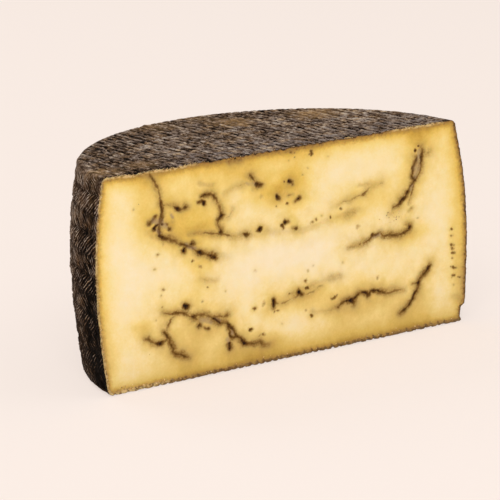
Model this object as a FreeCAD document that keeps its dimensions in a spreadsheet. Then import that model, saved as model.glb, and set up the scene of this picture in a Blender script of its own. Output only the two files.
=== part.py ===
"""Half of a pressed sheep milk cheese, cut down through the axis of the wheel.

The wheel is a low barrel with rounded rims. Its side carries the herringbone print of the plaited
band that it was pressed in, and its two flat faces carry the print of the carved pressing boards,
which are straight ribs. The half rests on its base with the cut face towards -Y, +X along the cut
and +Z up. The origin is at the bottom centre of the half. Sizes are in millimetres and degrees.
"""

import FreeCAD, Part
import math
import os

SIZES = [
    # the wheel
    ("wheel_diameter", 195.0),      # at the belly, over the crests of the print
    ("wheel_height", 96.0),
    ("belly_height", 47.0),         # height of the widest section
    ("top_inset", 5.9),             # how far the side draws in from the belly to the top face
    ("base_inset", 3.3),            # the same towards the base
    ("top_round", 4.0),             # radius of the turn from the side to the top face
    ("base_round", 3.0),
    # the plaited band's print on the side
    ("plait_rows", 11),
    ("bundle_count", 56),           # bundles of strands round the whole wheel
    ("strand_angle", 36.0),         # from the horizontal, leaning one way and the other in turn
    ("bundle_depth", 0.9),
    ("bundle_flat", 0.42),          # share of a bundle's width that its crest takes
    ("row_groove_depth", 0.7),
    ("row_groove_width", 2.6),
    # the carved boards' print on the top and the base
    ("board_edge", 2.5),            # between the board and the turn of the rim
    ("top_press", 0.2),             # how deep the top board's edge has sunk
    ("top_dish", 1.0),              # how much deeper its middle has sunk
    ("rib_pitch", 3.6),
    ("rib_groove_width", 2.2),
    ("rib_groove_depth", 0.5),
    ("rib_lean", 95.0),             # from +X, along the cut, to the ribs
    ("board_clearance", 0.3),       # by which what must not print stands off
    # the cut
    ("cut_clearance", 10.0),        # by which the cutting block stands out beyond the wheel
]

RIM_STEPS = 3                       # spans between outlines round each rim
DISH_STEPS = 6                      # spans along a rib where it follows a dish
BOARD_SIDES = 60                    # the boards' rims are cut with this many straight strokes


def make_sheet(doc):
    """Writes the driving sizes into a spreadsheet and returns it."""
    sheet = doc.addObject("Spreadsheet::Sheet", "Sizes")
    for row, (alias, value) in enumerate(SIZES, start=1):
        sheet.set(f"A{row}", alias.replace("_", " "))
        sheet.set(f"B{row}", str(value))
        sheet.setAlias(f"B{row}", alias)
    doc.recompute()
    return sheet


class Wheel:
    """The barrel and its plaited print as functions of height, worked out from the sheet."""

    def __init__(self, sheet):
        self.radius = sheet.wheel_diameter / 2
        self.height = sheet.wheel_height
        self.belly = sheet.belly_height
        self.top_inset = sheet.top_inset
        self.base_inset = sheet.base_inset
        self.top_round = sheet.top_round
        self.base_round = sheet.base_round
        self.bundle_depth = sheet.bundle_depth
        self.bundle_flat = sheet.bundle_flat
        self.groove_depth = sheet.row_groove_depth
        self.groove_half = sheet.row_groove_width / 2
        self.rows = int(sheet.plait_rows)
        self.row_height = self.height / self.rows
        self.row_twist = self.row_height / math.tan(math.radians(sheet.strand_angle)) / self.radius
        self.bundle_turn = 2 * math.pi / int(sheet.bundle_count)
        # outlines run a little beyond the half wheel at both ends, so that the cut trims them all
        self.spare = math.ceil(self.row_twist / self.bundle_turn) + 1
        self.last = int(sheet.bundle_count) // 2 + self.spare

    def side(self, z):
        """Radius of the barrel at a height, over the crests of the print."""
        if z > self.belly:
            share = (z - self.belly) / (self.height - self.belly)
            return self.radius - self.top_inset * share ** 2
        return self.radius - self.base_inset * ((self.belly - z) / self.belly) ** 2

    def lean(self, z):
        """Turn of the bundles at a height: they lean back over one row and out over the next."""
        row = min(int(z / self.row_height), self.rows - 1)
        share = z / self.row_height - row
        return self.row_twist * (1 - share if row % 2 == 0 else share)

    def outline(self, z, radius, depth):
        """Toothed outline of the half wheel: for each bundle a valley and two shoulders of a crest."""
        shoulder = (1 - self.bundle_flat) / 2
        teeth = ((0.0, depth), (shoulder, 0.0), (1 - shoulder, 0.0))
        points = []
        for bundle in range(-self.spare, self.last):
            for share, valley in teeth:
                angle = (bundle + share) * self.bundle_turn + self.lean(z)
                reach = radius - valley
                points.append(FreeCAD.Vector(reach * math.cos(angle), reach * math.sin(angle), z))
        return points

    def rim(self, z, rounding, upward):
        """Outlines round a rim, from the side to a flat face, over which the print runs out."""
        radius = self.side(z)
        outlines = []
        for step in range(RIM_STEPS + 1):
            turn = math.pi / 2 * step / RIM_STEPS
            level = z + upward * rounding * math.sin(turn)
            drawn_in = radius - rounding * (1 - math.cos(turn))
            outlines.append(self.outline(level, drawn_in, self.bundle_depth * math.cos(turn)))
        return outlines

    def groove(self, z):
        """The three outlines of the groove between two rows of the plait."""
        below, above = z - self.groove_half, z + self.groove_half
        return [
            self.outline(below, self.side(below), self.bundle_depth),
            self.outline(z, self.side(z) - self.groove_depth, self.bundle_depth / 2),
            self.outline(above, self.side(above), self.bundle_depth),
        ]

    def outlines(self):
        """All outlines from the base to the top."""
        stack = self.rim(self.base_round, self.base_round, -1)[::-1]
        for row in range(1, self.rows):
            stack += self.groove(row * self.row_height)
        return stack + self.rim(self.height - self.top_round, self.top_round, 1)


def faceted_loft(doc, name, outlines):
    """Closed solid with flat facets between outlines that all have the same number of points.

    Each four-sided span is folded along its shorter diagonal, so that leaning bundles stay crisp.
    """
    count = len(outlines[0])
    points = [point for outline in outlines for point in outline]
    facets = []
    for level in range(len(outlines) - 1):
        for side in range(count):
            near, far = level * count + side, level * count + (side + 1) % count
            rising = points[near].distanceToPoint(points[far + count])
            falling = points[far].distanceToPoint(points[near + count])
            if rising <= falling:
                facets += [(near, far, far + count), (near, far + count, near + count)]
            else:
                facets += [(near, far, near + count), (far, far + count, near + count)]
    skin = Part.Shape()
    skin.makeShapeFromMesh((points, facets), 0.001)
    ends = [Part.Face(Part.makePolygon(end + end[:1])) for end in (outlines[0], outlines[-1])]
    shell = Part.makeCompound(skin.Faces + ends)
    shell.sewShape()
    solid = Part.Solid(shell.Shells[0])
    if solid.Volume < 0:
        solid.reverse()
    item = doc.addObject("Part::Feature", name)
    item.Shape = solid
    return item


def comb_outlines(sheet, radius, face, outward, land, dish):
    """Outlines across a carved board, one after the other along its ribs.

    land is how deep the board's flats sink into the face at its edge; dish is how much deeper they
    sink in the middle.
    """
    half_width = sheet.rib_groove_width / 2
    tip = max(land, 0.0) + sheet.rib_groove_depth
    ribs = math.ceil(radius / sheet.rib_pitch)
    reach = radius + sheet.rib_pitch
    steps = DISH_STEPS if dish else 1
    outlines = []
    for step in range(steps + 1):
        along = reach * (2 * step / steps - 1)
        outline = []
        for rib in range(-ribs, ribs + 1):
            for offset, depth in ((-half_width, land), (0.0, tip), (half_width, land)):
                across = rib * sheet.rib_pitch + offset
                sunk = dish * (1 - (across ** 2 + along ** 2) / radius ** 2)
                outline.append(FreeCAD.Vector(across, along, face - outward * (depth + sunk)))
        back = face + outward * sheet.rib_pitch
        outline.append(FreeCAD.Vector(outline[-1].x, along, back))
        outline.append(FreeCAD.Vector(outline[0].x, along, back))
        outlines.append(outline)
    return outlines


def make_board(doc, sheet, name, radius, outward, face, land, dish):
    """A round board with carved grooves, in place against a flat face of the wheel."""
    disc = doc.addObject("Part::Prism", f"{name}_disc")
    disc.Polygon = BOARD_SIDES
    disc.setExpression("Circumradius", radius)
    disc.setExpression("Height", "4 * Sizes.rib_pitch")
    disc.setExpression("Placement.Base.z", f"{face} - 2 * Sizes.rib_pitch")
    doc.recompute()
    level = disc.Placement.Base.z + disc.Height.Value / 2
    comb = faceted_loft(
        doc, f"{name}_comb", comb_outlines(sheet, disc.Circumradius.Value, level, outward, land, dish)
    )
    comb.setExpression("Placement.Rotation.Angle", "Sizes.rib_lean - 90")
    return boolean(doc, "Part::Common", name, comb, disc)


def boolean(doc, kind, name, base, tool):
    """Adds a two-piece boolean to the document."""
    item = doc.addObject(kind, name)
    item.Base = base
    item.Tool = tool
    item.Refine = False
    return item


def flat_radius(inset, rounding, depth):
    """Expression for a board's radius, inside the turn of its rim."""
    side = f"Sizes.wheel_diameter / 2 - Sizes.{inset} * (1 - Sizes.{rounding} / ({depth})) ^ 2"
    return f"{side} - Sizes.{rounding} - Sizes.board_edge"


def keep_half(doc, wheel):
    """Keeps the half of the wheel behind the cut."""
    block = doc.addObject("Part::Box", "kept_side")
    block.setExpression("Length", "Sizes.wheel_diameter + 2 * Sizes.cut_clearance")
    block.setExpression("Width", "Sizes.wheel_diameter / 2 + Sizes.cut_clearance")
    block.setExpression("Height", "Sizes.wheel_height + 2 * Sizes.cut_clearance")
    block.setExpression("Placement.Base.x", "-Sizes.wheel_diameter / 2 - Sizes.cut_clearance")
    block.setExpression("Placement.Base.z", "-Sizes.cut_clearance")
    return boolean(doc, "Part::Common", "cut_wheel", wheel, block)


def check(doc, parts):
    """Stops the build if an object has failed or a part isn't one valid solid."""
    for item in doc.Objects:
        if {"Invalid", "Error"} & set(item.State):
            raise RuntimeError(f"{item.Name} has failed: {item.State}")
    for part in parts:
        if part.Shape.isNull() or not part.Shape.isValid() or len(part.Shape.Solids) != 1:
            raise RuntimeError(f"{part.Label} is not one valid solid")


def main():
    doc = FreeCAD.newDocument("cheese")
    sheet = make_sheet(doc)
    wheel = faceted_loft(doc, "printed_wheel", Wheel(sheet).outlines())
    cut_wheel = keep_half(doc, wheel)

    above = "Sizes.wheel_height - Sizes.belly_height"
    top_radius = flat_radius("top_inset", "top_round", above)
    base_radius = flat_radius("base_inset", "base_round", "Sizes.belly_height")
    top_board = make_board(
        doc, sheet, "top_board", top_radius, 1, "Sizes.wheel_height", sheet.top_press, sheet.top_dish
    )
    base_board = make_board(
        doc, sheet, "base_board", base_radius, -1, "0", -sheet.board_clearance, 0.0
    )
    ribbed_top = boolean(doc, "Part::Cut", "ribbed_top", cut_wheel, top_board)
    half = boolean(doc, "Part::Cut", "cheese_half", ribbed_top, base_board)
    half.setExpression("Placement.Base.y", "-Sizes.wheel_diameter / 4")
    doc.recompute()

    check(doc, [half])
    os.makedirs("parts", exist_ok=True)
    half.Shape.exportStep(f"parts/{half.Label}.step")


main()
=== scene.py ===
import math

import bpy
import numpy as np
from mathutils import Matrix, Vector


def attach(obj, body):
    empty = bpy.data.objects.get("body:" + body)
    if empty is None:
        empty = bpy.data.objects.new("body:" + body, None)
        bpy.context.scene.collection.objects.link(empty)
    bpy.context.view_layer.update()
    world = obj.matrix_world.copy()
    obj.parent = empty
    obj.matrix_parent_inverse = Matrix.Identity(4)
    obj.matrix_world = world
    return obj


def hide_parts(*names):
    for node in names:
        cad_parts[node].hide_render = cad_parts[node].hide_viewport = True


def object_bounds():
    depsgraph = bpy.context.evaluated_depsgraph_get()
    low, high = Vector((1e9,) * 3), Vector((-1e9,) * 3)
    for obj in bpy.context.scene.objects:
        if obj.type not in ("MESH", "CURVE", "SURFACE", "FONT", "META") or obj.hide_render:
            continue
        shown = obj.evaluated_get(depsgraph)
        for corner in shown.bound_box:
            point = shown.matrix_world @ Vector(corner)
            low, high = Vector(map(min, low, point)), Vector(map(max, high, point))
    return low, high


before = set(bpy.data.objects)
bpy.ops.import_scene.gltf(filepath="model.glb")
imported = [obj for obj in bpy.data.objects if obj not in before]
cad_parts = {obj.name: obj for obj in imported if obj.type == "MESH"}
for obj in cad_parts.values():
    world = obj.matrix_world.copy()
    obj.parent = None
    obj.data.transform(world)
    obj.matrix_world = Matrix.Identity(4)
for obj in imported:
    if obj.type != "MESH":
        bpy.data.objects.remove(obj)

cad_lo, cad_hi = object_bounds()

# ---------------------------------------------------------------- sizes
# Everything is worked out in millimetres: x along the cut, y from the cut face into the half,
# z up from the base. place() turns it into the frame's metres.
MM = 0.001
CUT_Y = cad_lo.y / MM
HEIGHT = (cad_hi.z - cad_lo.z) / MM
RADIUS = (cad_hi.x - cad_lo.x) / 2 / MM
BELLY = 0.49 * HEIGHT               # height of the widest section
TOP_INSET, BASE_INSET = 5.9, 3.3    # how far the side draws in towards the two faces
TOP_ROUND, BASE_ROUND = 4.0, 3.0
DISH = 0.3                          # sag of the middle of the top

PLAIT_ROWS = 11
ROW_HEIGHT = HEIGHT / PLAIT_ROWS
STRAND_ANGLE = math.radians(36)
STRAND_PITCH = 1.55
STRANDS_IN_BUNDLE = 3
RIB_PITCH, RIB_LEAN = 3.6, math.radians(95)
DASH_LENGTH = 6.4                   # the ribs are crossed by short cuts this far apart
TOP_SEED, BASE_SEED = 81, 181       # the noise of the two pressing boards
BASE_RELIEF = 1.15                  # the base's relief as a share of the top's

NOTCH_DEPTH, NOTCH_HEIGHT = 2.2, 7.7    # a bit missing from the right lower rim
# A bit that stands up on the back of the top rim: where it is, how far in and how big.
NUB_ANGLE, NUB_IN, NUB_SIZE = math.radians(104), 1.5, 1.3

RIND = 2.4                          # thickness of the rind shells
SHELL_SINK = 0.3                    # how much further in a side shell's hidden wall lies
CAP_SHARE = 0.985                   # width of a face shell's hidden side
CORE_INSET = 3.2                    # how far the hidden paste stays behind the outline
ARC_STEPS = 10                      # facets round the hidden paste

CELL = 0.9                          # the cut face's coarse cells; fine ones are a third of that
SHELL_CELL = 0.44
SIDE_ROWS, END_STEP = 236, 5        # rows of a side shell, one more than a multiple of END_STEP

BACKDROP = (254, 240, 231)
FLOOR_GLOW = 0.7                    # share of the backdrop's own colour in the floor, over its shaded one
CAMERA_PLACE, CAMERA_AIM = (-0.5959, -1.0055, 0.3332), (-0.004, -0.022, 0.045)
CAMERA_ROLL, CAMERA_LENS = math.radians(-2.4), 189.0


def place(points):
    """Millimetres of the half to metres of the frame."""
    return (points + np.array([0, CUT_Y, 0])) * MM


# ---------------------------------------------------------------- noise
def lattice(ix, iy, iz, seed):
    """A repeatable value from 0 to 1 for each corner of a grid."""
    mask = 0xFFFFFFFF
    h = (ix * 374761393 + iy * 668265263 + iz * 1442695041 + seed * 974634777) & mask
    h = ((h ^ (h >> 13)) * 1274126177) & mask
    h = ((h ^ (h >> 16)) * 2246822519) & mask
    return ((h ^ (h >> 15)) & 0xFFFFFF) / 0xFFFFFF


def noise(x, y, z, size, seed=0):
    """Smooth noise from -1 to 1 whose lumps are about size across."""
    px, py, pz = (np.asarray(c, dtype=float) / size + 1000.0 for c in np.broadcast_arrays(x, y, z))
    ix, iy, iz = (np.floor(c).astype(np.int64) for c in (px, py, pz))
    fx, fy, fz = (f * f * (3 - 2 * f) for f in (px - ix, py - iy, pz - iz))
    total = 0.0
    for dx in (0, 1):
        for dy in (0, 1):
            for dz in (0, 1):
                weight = (fx if dx else 1 - fx) * (fy if dy else 1 - fy) * (fz if dz else 1 - fz)
                total = total + weight * lattice(ix + dx, iy + dy, iz + dz, seed)
    return 2 * total - 1


def fractal(x, y, z, size, seed=0, octaves=3):
    """Noise with finer and weaker layers added."""
    total, weight, norm = 0.0, 1.0, 0.0
    for octave in range(octaves):
        total = total + weight * noise(x, y, z, size / 2 ** octave, seed + 17 * octave)
        norm += weight
        weight *= 0.55
    return total / norm


def smooth(low, high, value):
    """0 at low, 1 at high, and a smooth step between them."""
    t = np.clip((value - low) / (high - low), 0, 1)
    return t * t * (3 - 2 * t)


# ---------------------------------------------------------------- the wheel's form
def side_radius(z):
    above = np.clip((z - BELLY) / (HEIGHT - BELLY), 0, 1)
    below = np.clip((BELLY - z) / BELLY, 0, 1)
    return RADIUS - TOP_INSET * above ** 2 - BASE_INSET * below ** 2


TOP_FLAT = float(side_radius(HEIGHT - TOP_ROUND)) - TOP_ROUND
BASE_FLAT = float(side_radius(BASE_ROUND)) - BASE_ROUND
BASE_TURN, TOP_TURN = math.pi / 2 * BASE_ROUND, math.pi / 2 * TOP_ROUND
SIDE_RUN = HEIGHT - TOP_ROUND - BASE_ROUND
PROFILE_LENGTH = BASE_TURN + SIDE_RUN + TOP_TURN


def outline_radius(z):
    """Half width of the section at a height, with the rounded rims."""
    radius = side_radius(np.clip(z, BASE_ROUND, HEIGHT - TOP_ROUND))
    over = np.clip(z - (HEIGHT - TOP_ROUND), 0, TOP_ROUND)
    under = np.clip(BASE_ROUND - z, 0, BASE_ROUND)
    radius = radius - TOP_ROUND + np.sqrt(TOP_ROUND ** 2 - over ** 2)
    return radius - BASE_ROUND + np.sqrt(BASE_ROUND ** 2 - under ** 2)


def plait(s, z):
    """Depth of the plaited print at arc length s and height z, and the count of strands crossed."""
    z = z + 0.7 * noise(s, 0, z, 22, 3) + 0.25 * noise(s, 0, z, 6, 4)
    row = np.floor(z / ROW_HEIGHT)
    from_edge = np.minimum(z - row * ROW_HEIGHT, (row + 1) * ROW_HEIGHT - z)
    lean = np.where(row % 2 == 0, -1.0, 1.0)
    wander = 0.95 * fractal(s, z, row * 9, 6, 5, 2)
    across = z * math.cos(STRAND_ANGLE) - lean * s * math.sin(STRAND_ANGLE) + wander
    strand = across / STRAND_PITCH + 100 * row
    round_print = np.abs(np.sin(math.pi * strand))
    gap = smooth(0.66, 1.0, np.abs((strand / STRANDS_IN_BUNDLE) % 1.0 - 0.5) * 2)
    seam = 1 - smooth(0.1, 2.0, from_edge + 0.6 * noise(s, z, 1, 2.5, 8))
    kept = smooth(-0.45, 0.4, fractal(s, 4, z, 8, 21, 3))
    rough, swell = fractal(s, z, 2, 1.6, 31, 2), fractal(s, z, 6, 6, 32, 2)
    pits = smooth(0.3, 0.75, fractal(s, 8, z, 3.4, 33, 2))
    depth = 0.5 * round_print * (0.25 + 0.75 * kept) + 0.4 * gap * (0.3 + 0.7 * kept) + 0.38 * seam
    return np.clip(depth + 0.22 * (rough + 1) + 0.42 * (swell + 1) + 0.65 * pits, 0, 2.6), strand


def board(x, y, seed):
    """Depth of a pressing board's ribs, worn as on a matured rind, and the count of ribs crossed."""
    along = x * math.cos(RIB_LEAN) + y * math.sin(RIB_LEAN)
    across = x * math.sin(RIB_LEAN) - y * math.cos(RIB_LEAN)
    across = across + 0.9 * noise(across, along, 0, 19, seed) + 0.45 * noise(across, along, 0, 5, seed + 1)
    rib = np.abs(np.sin(math.pi * across / RIB_PITCH))
    cross = np.abs(np.sin(math.pi * (along + 1.1 * noise(x, y, 2, 6, seed + 2)) / DASH_LENGTH
                          + math.pi / 2 * (np.floor(across / RIB_PITCH) % 2)))
    kept = smooth(-0.5, 0.35, fractal(x, y, 3, 11, seed + 3, 3))
    groove = (1 - smooth(0.1, 0.8, rib)) * (0.15 + 0.85 * kept)
    dash = (1 - smooth(0.05, 0.5, cross)) * (1 - 0.5 * kept)
    pits = smooth(0.28, 0.75, fractal(across / 1.3, along / 2.2, 4, 1.9, seed + 5, 2))
    rough = fractal(x, y, 5, 1.4, seed + 6, 2)
    return 0.50 * groove + 0.28 * dash + 0.60 * pits + 0.16 * (rough + 1), across / RIB_PITCH


def top_height(x, y):
    """Height of the top face: its dish, ribs and a few lumps, all below the CAD box's top."""
    r = np.hypot(x, y)
    inner = 1 - smooth(TOP_FLAT - 3, TOP_FLAT + 3, r)
    at_cut = 1 - smooth(0.0, 4.0, y)
    dish = DISH * (1 - np.clip(r / TOP_FLAT, 0, 1) ** 2)
    swell = 0.16 * (1 + fractal(x, y, 7, 26, 71, 2)) * inner
    broken = 0.9 * np.maximum(fractal(x, y, 8, 5.5, 72, 3), 0) * at_cut * inner
    ribs = board(x, y, TOP_SEED)[0] * (0.45 + 0.55 * inner) * (1 - 0.55 * at_cut)
    return HEIGHT - dish - swell - broken - ribs


def base_height(x, y):
    return BASE_RELIEF * board(x, y, BASE_SEED)[0]


# ---------------------------------------------------------------- veins of the cut face
# Each vein: how dark it is, then its path over the cut face as (x, z, width) in mm.
VEINS = [
    (0.72, [(-69, 96.5, 1.2), (-68, 94, 1.5), (-66, 90.5, 1.4), (-64.3, 86.5, 1.3), (-63.3, 82, 1.4),
     (-62.8, 78.5, 2.2), (-63.2, 75, 1.8), (-64.5, 72, 1.6), (-65, 69, 1.7), (-65.2, 66.5, 1.5)]),
    (0.9, [(-65.2, 66.5, 1.6), (-63, 65, 1.6), (-60, 64.3, 1.5), (-57, 62.8, 1.3), (-54, 61, 1.3),
     (-51, 59.8, 1.5), (-48.9, 58.8, 1.2), (-47.5, 57, 1), (-45.4, 55.8, 1.9), (-42, 54.6, 1.1),
     (-39.2, 53, 2.2), (-37.8, 52.5, 2)]),
    (0.3, [(-37.5, 52.5, 1.2), (-33.5, 53, 0.8)]),
    (0.9, [(-69.6, 72.8, 1.8), (-68.4, 73.4, 1), (-66, 75, 1.4)]),
    (0.85, [(-64.4, 72.6, 1.2), (-63.6, 71.6, 1.7)]),
    (0.8, [(-60.4, 69.4, 0.9), (-59.8, 68.3, 1.6)]),
    (0.7, [(-61.4, 71.6, 1.2), (-60.8, 70.8, 1)]),
    (0.95, [(-67.3, 70, 1.9), (-66.3, 71.2, 1.5), (-64.6, 72, 1.4)]),
    (0.5, [(-68.5, 67.5, 0.8), (-65.5, 66.8, 1)]),
    (0.8, [(-63.2, 79.4, 1.5), (-60.8, 79.3, 0.8), (-58.3, 78.7, 0.7), (-56.6, 77.9, 1.3), (-55.2, 77, 2),
     (-53.2, 76.2, 1.1), (-51.4, 76.9, 1.6)]),
    (0.4, [(-56.8, 76.5, 0.7), (-57.8, 74.2, 0.9), (-58.2, 71.5, 0.9)]),
    (0.4, [(-62.4, 76, 1.4), (-61.5, 73.5, 1.2)]),
    (0.6, [(-60.5, 68.3, 1.2), (-59.2, 68.4, 1.2)]),
    (0.45, [(-64.8, 65, 1.2), (-63.2, 62.7, 1.4)]),
    (1, [(-53.1, 57.7, 2.2), (-52.3, 59.2, 1.1), (-50.5, 60, 1.1), (-48.8, 60.5, 2)]),
    (0.85, [(-43.4, 80.6, 1.5), (-41.5, 81, 1.7), (-40, 80.8, 1.4), (-38, 80.9, 1), (-36.8, 80, 1.8),
     (-36, 77.5, 1.1), (-34.8, 75.3, 1.1), (-34, 72.5, 1.2), (-33.8, 70.3, 1.9), (-35.3, 69, 1.5),
     (-35.6, 66.8, 1.2), (-34.6, 64.3, 1.6), (-34.2, 62.8, 1.8)]),
    (0.95, [(-45.3, 78.3, 1.3), (-43.4, 78.5, 1.4), (-42, 77.3, 1.9)]),
    (0.4, [(-43.2, 85.9, 0.8), (-40.5, 85.1, 0.9), (-37.5, 84.9, 0.8)]),
    (0.72, [(-50, 64.5, 0.5), (-46, 64.7, 0.8), (-43, 64.3, 1), (-40, 63.8, 1.2), (-37, 63, 1.4),
     (-34.3, 62.5, 1.4), (-32, 61.8, 1.2), (-29.5, 60.5, 1.1), (-26, 60.2, 0.8), (-23, 60.5, 1.3),
     (-21.4, 59.9, 2.2), (-19.8, 60, 0.8)]),
    (0.34, [(-19.8, 60, 1.2), (-10, 59.5, 1.2), (-3, 59.2, 1.5), (3, 58, 1.6), (8, 57, 2), (14, 58, 2.4),
     (21, 58.9, 2.2), (30, 60.3, 2), (38, 62, 1.4)]),
    (0.5, [(-31.5, 68.8, 0.8), (-29.8, 69.5, 1.1), (-28.9, 70.3, 1), (-28, 72.2, 1.2)]),
    (0.5, [(-32, 79.5, 0.5), (-30.2, 80.6, 0.7), (-27, 82, 1), (-23.5, 82.2, 1.2), (-20.5, 82.8, 0.9)]),
    (0.8, [(-18.3, 86, 1.3), (-17.2, 85, 1.5), (-16.3, 83.2, 1), (-15.4, 82, 1.2)]),
    (1, [(-15, 81.2, 2.6), (-13.4, 80.8, 1.7)]),
    (0.45, [(-17.2, 79.8, 0.9), (-15, 80, 1)]),
    (0.6, [(-28.6, 93.6, 2.2), (-27, 94.2, 2.6), (-25, 94.4, 2.4), (-23.8, 93.6, 2)]),
    (0.95, [(2.1, 80.4, 2.1), (3.6, 79.9, 1.7), (3.8, 78.6, 1.2)]),
    (1, [(-4.8, 75.3, 1.3), (-4.3, 73.7, 2.4)]),
    (1, [(6.4, 72, 2.3), (5, 71.5, 1.3), (4.2, 70.8, 0.9)]),
    (0.6, [(1.2, 74, 1.1), (3.5, 74.2, 0.8)]),
    (0.25, [(-7.5, 73, 2), (3, 74.5, 2.2), (7, 75.5, 1.2)]),
    (1, [(0.5, 62.4, 1.3), (-1.3, 62.3, 2.2)]),
    (0.8, [(-3.1, 61.2, 1.8), (-2.4, 59.8, 1.1)]),
    (0.85, [(4.5, 58.6, 1.7), (2.8, 59, 0.9)]),
    (0.9, [(-14.2, 61.2, 2), (-16, 60.9, 1)]),
    (0.5, [(26.5, 65.3, 0.9), (30, 66.7, 1.2), (34, 66.7, 1.3), (38, 68, 1.3), (41.5, 69, 1.7),
     (43.5, 70.5, 1.2), (46, 71.6, 1), (51, 72.1, 1)]),
    (0.42, [(38.5, 73, 1.2), (41, 72.4, 1.6), (44, 71.7, 1.4)]),
    (0.9, [(69.8, 81, 1.2), (69.5, 79, 1.4), (68.6, 77, 1.5), (67.8, 75, 1.5), (67.6, 73, 1.4),
     (68.8, 70.8, 1.7)]),
    (0.85, [(72.6, 85.2, 1), (73.2, 83.3, 1.5), (72.9, 81, 1.7), (72.6, 78.5, 1.6), (72.2, 76.3, 1.1),
     (71.6, 74, 1.2), (70, 71.8, 1), (69.2, 70.5, 1.4)]),
    (0.7, [(73.2, 81.5, 1.2), (75, 81.6, 1.2), (76.5, 82, 1), (77, 83.2, 0.6)]),
    (0.38, [(71.2, 83, 2.2), (70.9, 79, 2.8), (70, 75, 3), (69.2, 72, 2.4)]),
    (0.95, [(68.8, 70.5, 1.5), (66.8, 69, 1.5), (66, 67.5, 1.2), (64.8, 65.8, 2), (63, 64, 1.8),
     (61.5, 63, 2), (60.5, 61.2, 1.6), (58.5, 60.3, 1.4), (57, 60, 1.1)]),
    (0.7, [(68, 68.5, 1.2), (67.3, 66, 1.2), (66, 63.5, 1), (65.2, 62, 0.9), (64.9, 60.7, 0.7)]),
    (0.22, [(57, 60, 1.4), (55, 58, 1.4), (53.5, 56.5, 0.8)]),
    (0.65, [(66.8, 58.1, 1.1), (65.2, 57.2, 0.7)]),
    (0.85, [(32, 45, 0.5), (37, 45.5, 0.8), (40, 46.2, 1.3), (42.5, 46.8, 1.1), (44, 47.6, 1.4),
     (45.3, 48.8, 1.6), (47, 48.5, 1.5), (49.3, 49.6, 1)]),
    (0.9, [(49.3, 49.2, 1), (50.3, 47.8, 1.3), (52, 47.3, 1.5), (55, 47.5, 1.6), (57.5, 47, 1.5),
     (60, 46.6, 1.5), (62, 47, 1.3), (64, 48, 1.3), (65.5, 49.6, 2), (64, 50.7, 0.8)]),
    (0.9, [(-65, 32.4, 0.5), (-62, 31.5, 1), (-60, 31, 1.3), (-57, 31, 1.3), (-55.2, 30.6, 1.5),
     (-53.5, 29.5, 1.4), (-51.5, 28, 1.3), (-49.9, 27.5, 2.1), (-47.5, 28, 1.2), (-45, 28, 1.2),
     (-43, 27.3, 1.2), (-41.5, 26.3, 1.2), (-40, 25, 1.6)]),
    (1, [(-40, 25, 1.6), (-38.5, 24, 1.7), (-37, 23, 1.7), (-35, 22.7, 1.2), (-33.5, 21.8, 1.3),
     (-32.2, 19.8, 1.5), (-31, 18.8, 1.5), (-30, 17.3, 1.3), (-28.8, 15.3, 1.4), (-27, 14, 1.2),
     (-25.5, 12.3, 1.5), (-24.5, 11, 1.6), (-22, 10.4, 1.3), (-19, 10.2, 1.2), (-16.9, 10.2, 1.4),
     (-15.5, 9, 1.3), (-13.6, 8.3, 1), (-12.4, 8, 0.6)]),
    (0.7, [(-55.5, 34.5, 0.8), (-55, 32.6, 1.2), (-54.4, 30.5, 1.2)]),
    (1, [(-54.2, 33.4, 1.9), (-52.6, 32.8, 2.3)]),
    (0.9, [(-49.5, 27.3, 1.2), (-47.8, 26, 1), (-47.2, 24.6, 0.9), (-47.5, 23.1, 2.4)]),
    (0.75, [(-45.6, 22, 0.7), (-44, 21, 1.3), (-42.8, 20.9, 1.8)]),
    (0.25, [(-46, 25, 2), (-42, 23.5, 2.4), (-40.5, 22.5, 1.6)]),
    (0.8, [(-39, 25.4, 1.2), (-36.6, 25.8, 1.2), (-34.6, 25, 1), (-33, 25.6, 1.5)]),
    (0.9, [(-32.8, 20, 1.2), (-32.3, 17.5, 1.3), (-31.6, 15.2, 1.6), (-30.5, 14.8, 1.4), (-29, 14.8, 1.2)]),
    (1, [(-32.5, 12, 2.1), (-32.2, 10.1, 2.1)]),
    (0.25, [(-33.5, 14.5, 1.6), (-32.8, 13, 2)]),
    (0.7, [(-58, 30.6, 0.9), (-60.8, 28.6, 1.1), (-62.5, 26.6, 1.2), (-63.2, 24, 1.1)]),
    (1, [(-65, 23.6, 1.1), (-63.8, 22.5, 1.2), (-62.8, 20.5, 1.5), (-62, 18.5, 1.4), (-61.3, 16.5, 1.3),
     (-60.6, 15.2, 1.3), (-60.9, 13.9, 1.2), (-59.8, 12.6, 1.4), (-58, 12.3, 1.3), (-56.8, 12, 1.7),
     (-55.8, 11, 1.6), (-54.5, 10.2, 1.4), (-53.6, 9.8, 0.8)]),
    (0.9, [(-74, 22, 1), (-72.4, 21.9, 1.6), (-71.4, 20.8, 1.2), (-70.3, 19.4, 1.1), (-68.3, 18.8, 1.6),
     (-66.5, 18.6, 1.9), (-65, 19, 1.4), (-63.3, 20, 1.2)]),
    (0.5, [(-45.5, 43.8, 0.9), (-43.5, 43, 1.3), (-40.5, 42.5, 1), (-38, 42, 0.7)]),
    (0.5, [(-9, 26.3, 2.2), (-6, 25.7, 1.5), (-3, 26, 1.6), (0, 26.5, 1.6), (2.5, 27.4, 1.6), (5, 28, 1.8),
     (7, 27.6, 1.4), (9.5, 27.3, 1.4), (12, 28, 1.3), (14.5, 29.2, 1.4), (17, 30, 1.2)]),
    (0.95, [(-8.8, 28, 1.7), (-8.7, 25.9, 2.3), (-9, 24.6, 1.3)]),
    (0.95, [(4.6, 29.2, 2.2), (6.5, 27.8, 1.3)]),
    (0.42, [(12, 19, 0.8), (18, 18, 1.3), (21, 17.7, 1.7), (24.5, 18.3, 1.8)]),
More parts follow.
